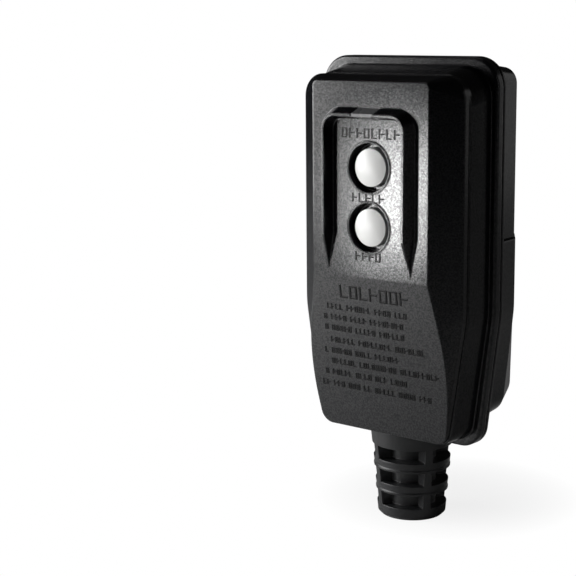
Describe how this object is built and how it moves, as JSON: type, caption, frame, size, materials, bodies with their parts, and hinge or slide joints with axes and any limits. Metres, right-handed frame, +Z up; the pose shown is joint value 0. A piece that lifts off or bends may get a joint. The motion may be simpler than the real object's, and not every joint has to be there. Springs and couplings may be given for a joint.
{
  "type": "residual current plug",
  "caption": "user-wired three-blade mains plug with a built-in residual current device: guarded reset and test buttons in front, blades and earth pin behind, ribbed cord boot below",
  "frame": {"origin": "on the back face that rests on the outlet, midway between the two flat blades", "axes": "X to the right seen from the button side, Y into the outlet along the blades, Z up with the cord boot at the bottom"},
  "size_m": [0.056, 0.0626, 0.1249],
  "materials": {
    "casing": "moulded black plastic with a fine spark-eroded grain",
    "boot_rubber": "black soft moulding, satin",
    "gasket_rubber": "black seal",
    "button_white": "white, slightly glossy domes",
    "lens_clear": "clear light pipe that looks smoky grey unlit",
    "blade_metal": "nickel plated brass, lightly brushed along its length",
    "contact_brass": "stamped brass",
    "contact_silver": "silver alloy rivets",
    "copper_wire": "enamelled copper winding",
    "screw_steel": "zinc plated",
    "spring_steel": "drawn wire",
    "soft_steel": "stamped frame and turned plunger",
    "board_green": "solder mask over glass epoxy",
    "ferrite": "coated ring core",
    "moulded_white": "unfilled inner mouldings",
    "moulded_grey": "glass filled inner mouldings",
    "component_black": "epoxy cases",
    "component_blue": "dipped coating",
    "component_yellow": "boxed film capacitor",
    "component_tan": "resistor coating",
    "lamp_green": "tinted lamp body",
    "label_white": "blank printed label stock"
  },
  "bodies": {
    "casing": {"front_cover": "casing", "perimeter_gasket": "gasket_rubber", "rear_housing": "casing", "wiring_cover": "casing", "indicator_lens": "lens_clear", "reset_spring": "spring_steel", "trip_spring": "spring_steel", "plunger_spring": "spring_steel", "test_leaf": "contact_brass", "circuit_board": "board_green", "board_screws": "screw_steel", "housing_screws": "screw_steel", "cover_screws": "screw_steel", "line_blade": "blade_metal", "neutral_blade": "blade_metal", "ground_pin": "blade_metal", "ground_strap": "contact_brass", "line_strip": "contact_brass", "neutral_strip": "contact_brass", "line_contacts": "contact_silver", "neutral_contacts": "contact_silver", "load_line_lead": "contact_brass", "load_neutral_lead": "contact_brass", "carrier_guide": "moulded_grey", "solenoid_bobbin": "moulded_white", "solenoid_coil": "copper_wire", "solenoid_frame": "soft_steel", "sensing_core": "ferrite", "neutral_core": "ferrite", "sensing_winding": "copper_wire", "neutral_winding": "copper_wire", "indicator_lamp": "lamp_green", "varistor": "component_blue", "film_capacitor": "component_yellow", "supply_capacitor": "component_black", "controller_chip": "component_black", "thyristor": "component_black", "resistors": "component_tan", "line_terminal": "contact_brass", "neutral_terminal": "contact_brass", "earth_terminal": "contact_brass", "terminal_screws": "screw_steel", "cord_clamp": "moulded_grey", "clamp_screws": "screw_steel", "strain_relief_boot": "boot_rubber", "end_label": "label_white"},
    "reset": {"reset_button": "button_white"},
    "test": {"test_button": "button_white"},
    "carrier": {"contact_carrier": "moulded_white", "line_bridge": "contact_silver", "neutral_bridge": "contact_silver"},
    "plunger": {"solenoid_plunger": "soft_steel"},
    "latch": {"latch_plate": "soft_steel"}
  },
  "joints": [
    {"name": "reset_press", "type": "slide", "parent": "casing", "child": "reset", "axis": [0, 1, 0], "range_m": [0, 0.0025], "stiffness_N_per_m": 800, "springref_m": -0.002, "deforming": ["reset_spring"]},
    {"name": "test_press", "type": "slide", "parent": "casing", "child": "test", "axis": [0, 1, 0], "range_m": [0, 0.0016], "stiffness_N_per_m": 800, "springref_m": -0.001, "deforming": ["test_leaf"]},
    {"name": "contact_close", "type": "slide", "parent": "casing", "child": "carrier", "axis": [0, -1, 0], "range_m": [0, 0.0018], "stiffness_N_per_m": 500, "springref_m": -0.002, "deforming": ["trip_spring"]},
    {"name": "plunger_slide", "type": "slide", "parent": "casing", "child": "plunger", "axis": [0, 0, -1], "range_m": [0, 0.0012], "stiffness_N_per_m": 200, "springref_m": -0.002, "deforming": ["plunger_spring"]},
    {"name": "latch_slide", "type": "slide", "parent": "carrier", "child": "latch", "axis": [0, 0, -1], "range_m": [0, 0.0012]}
  ],
  "couplings": [
    {"joint": "latch_slide", "follows": "plunger_slide", "ratio": 1}
  ]
}
